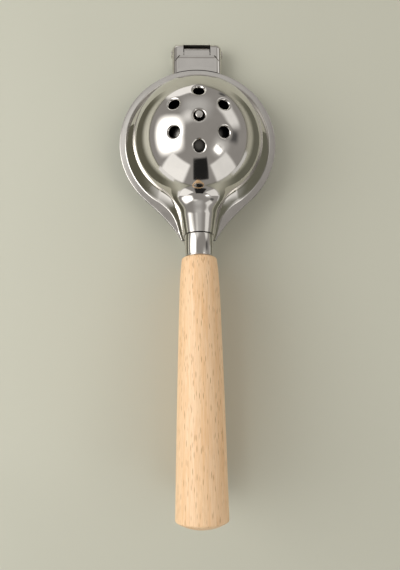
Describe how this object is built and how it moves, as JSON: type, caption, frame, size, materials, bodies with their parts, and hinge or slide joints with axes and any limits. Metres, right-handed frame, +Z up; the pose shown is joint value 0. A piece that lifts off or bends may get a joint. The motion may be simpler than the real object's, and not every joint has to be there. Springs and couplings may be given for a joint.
{
  "type": "lemon squeezer",
  "caption": "Hand-held lemon squeezer: a perforated strainer cup hinged over a nested press cup, each on a steel neck with a turned wooden handle.",
  "frame": {"origin": "on the table, under the middle of the closed squeezer's length and width", "axes": "+Z up; +Y along the tool from the handles towards the hinge; +X to the right seen from above with the hinge away from you"},
  "size_m": [0.0764, 0.2275, 0.0643],
  "materials": {
    "polished_steel": "bright polished sheet steel, with a finer brushed line on the flat rim",
    "brass": "plain turned",
    "beech": "pale turned hardwood with a thin satin varnish"
  },
  "bodies": {
    "press_half": {"press_cup": "polished_steel", "press_pin": "polished_steel", "press_pin_washer": "polished_steel", "press_bracket": "polished_steel", "press_neck": "polished_steel", "press_stud": "polished_steel", "press_collar": "polished_steel", "press_insert": "brass", "press_handle": "beech"},
    "strainer_half": {"strainer_cup": "polished_steel", "strainer_bracket": "polished_steel", "hinge_pin": "polished_steel", "hinge_spacer_left": "polished_steel", "hinge_spacer_right": "polished_steel", "strainer_stud": "polished_steel", "strainer_collar": "polished_steel", "strainer_insert": "brass", "strainer_handle": "beech"}
  },
  "joints": [
    {"name": "hinge", "type": "hinge", "parent": "press_half", "child": "strainer_half", "pos_m": [0, 0.10983, 0.005], "axis": [-1, 0, 0], "range_deg": [0, 120]}
  ]
}
